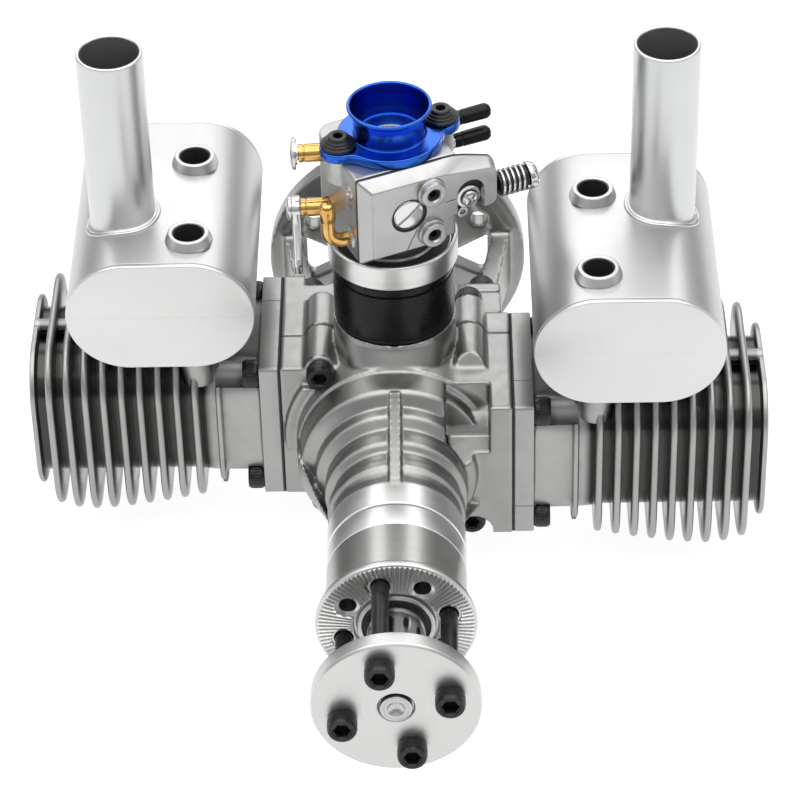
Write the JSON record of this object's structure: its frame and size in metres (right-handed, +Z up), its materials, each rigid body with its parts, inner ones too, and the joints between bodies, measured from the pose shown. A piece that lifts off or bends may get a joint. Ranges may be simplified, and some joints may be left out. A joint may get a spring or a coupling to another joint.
{
  "type": "flat aircraft engine",
  "caption": "Flat twin two-stroke model aircraft engine with finned cylinders, mufflers with upright stacks, carburettor on top, drive hub in front and firewall mount behind.",
  "frame": {"origin": "where the crank axis meets the firewall face at the back of the mount ring", "axes": "+X to the right cylinder seen from the propeller side, -Y forward to the propeller, +Z up to the carburettor"},
  "size_m": [0.223, 0.2239, 0.1685],
  "materials": {
    "cast_aluminium": "satin bead-blasted casting",
    "cylinder_aluminium": "satin cast, fin faces slightly darker",
    "muffler_aluminium": "fine satin",
    "machined_aluminium": "turned, satin",
    "magnet_ring": "turned, a shade darker",
    "black_screws": "black oxide",
    "steel": "ground",
    "bright_steel": "polished",
    "brass": "polished",
    "blue_anodised": "anodised, glossy",
    "black_plastic": "satin black",
    "carburettor_alloy": "satin die casting",
    "gasket": "fibre sheet, dark",
    "seal_rubber": "matte"
  },
  "bodies": {
    "engine": {"crankcase_front": "cast_aluminium", "crankcase_rear": "cast_aluminium", "crankcase_screws": "black_screws", "rear_mount_ring": "cast_aluminium", "rear_mount_screws": "black_screws", "cylinder_left": "cylinder_aluminium", "cylinder_right": "cylinder_aluminium", "cylinder_base_gaskets": "gasket", "cylinder_base_screws": "black_screws", "exhaust_gaskets": "gasket", "muffler_can_left": "muffler_aluminium", "muffler_can_right": "muffler_aluminium", "muffler_end_plates": "muffler_aluminium", "muffler_screw_sleeves": "muffler_aluminium", "muffler_screws": "black_screws", "exhaust_stack_left": "muffler_aluminium", "exhaust_stack_right": "muffler_aluminium", "intake_spacer": "black_plastic", "intake_clamp_ring": "machined_aluminium", "reed_block": "black_plastic", "reed_petals": "steel", "carburettor_gasket": "gasket", "carburettor_body": "carburettor_alloy", "carburettor_front_cover": "carburettor_alloy", "carburettor_screws": "black_screws", "carburettor_slotted_plug": "bright_steel", "velocity_stack": "blue_anodised", "idle_screw_spring": "bright_steel", "fuel_elbow": "brass", "shaft_sleeves": "brass", "bearing_outer_races": "steel", "crank_seal": "seal_rubber"},
    "crank": {"crankshaft_front": "bright_steel", "crank_centre_web": "steel", "crankshaft_rear": "steel", "bearing_inner_races": "steel", "bearing_balls": "bright_steel", "magnet_ring": "magnet_ring", "drive_hub": "machined_aluminium", "propeller_washer": "machined_aluminium", "propeller_screws": "black_screws"},
    "piston_left": {"piston_left": "cast_aluminium", "piston_ring_left": "steel", "wrist_pin_left": "steel"},
    "piston_right": {"piston_right": "cast_aluminium", "piston_ring_right": "steel", "wrist_pin_right": "steel"},
    "rod_left": {"connecting_rod_left": "steel", "rod_bearings_left": "brass"},
    "rod_right": {"connecting_rod_right": "steel", "rod_bearings_right": "brass"},
    "throttle": {"throttle_shaft": "bright_steel", "throttle_plate": "steel", "throttle_arm": "steel"},
    "choke": {"choke_shaft": "bright_steel", "choke_plate": "steel", "choke_lever": "steel"},
    "high_needle": {"high_speed_needle": "black_plastic"},
    "low_needle": {"low_speed_needle": "black_plastic"},
    "idle": {"idle_screw": "bright_steel"}
  },
  "joints": [
    {"name": "crank_spin", "type": "hinge", "parent": "engine", "child": "crank", "pos_m": [0, -0.0925, 0], "axis": [0, 1, 0], "continuous": true},
    {"name": "piston_left_slide", "type": "slide", "parent": "engine", "child": "piston_left", "axis": [1, 0, 0], "range_m": [0, 0.03]},
    {"name": "piston_right_slide", "type": "slide", "parent": "engine", "child": "piston_right", "axis": [-1, 0, 0], "range_m": [0, 0.03]},
    {"name": "rod_left_swing", "type": "hinge", "parent": "piston_left", "child": "rod_left", "pos_m": [-0.069, -0.072, 0], "axis": [0, 1, 0], "range_deg": [-10, 10]},
    {"name": "rod_right_swing", "type": "hinge", "parent": "piston_right", "child": "rod_right", "pos_m": [0.069, -0.0925, 0], "axis": [0, 1, 0], "range_deg": [-10, 10]},
    {"name": "throttle_turn", "type": "hinge", "parent": "engine", "child": "throttle", "pos_m": [0, -0.08225, 0.0758], "axis": [0.9976, 0.0698, 0], "range_deg": [0, 72]},
    {"name": "choke_turn", "type": "hinge", "parent": "engine", "child": "choke", "pos_m": [0, -0.08225, 0.0952], "axis": [0.9976, 0.0698, 0], "range_deg": [0, 75]},
    {"name": "high_needle_turn", "type": "hinge", "parent": "engine", "child": "high_needle", "pos_m": [0.02175, -0.06245, 0.0927], "axis": [0.91, 0.4147, 0], "range_deg": [-360, 360]},
    {"name": "low_needle_turn", "type": "hinge", "parent": "engine", "child": "low_needle", "pos_m": [0.02175, -0.06245, 0.0848], "axis": [0.91, 0.4147, 0], "range_deg": [-360, 360]},
    {"name": "idle_screw_turn", "type": "hinge", "parent": "engine", "child": "idle", "pos_m": [0.036, -0.08408, 0.0847], "axis": [0.91, 0.4147, 0], "range_deg": [-360, 360]}
  ],
  "couplings": [
    {"joint": "piston_right_slide", "follows": "piston_left_slide", "ratio": 1},
    {"joint": "rod_right_swing", "follows": "rod_left_swing", "ratio": 1}
  ]
}
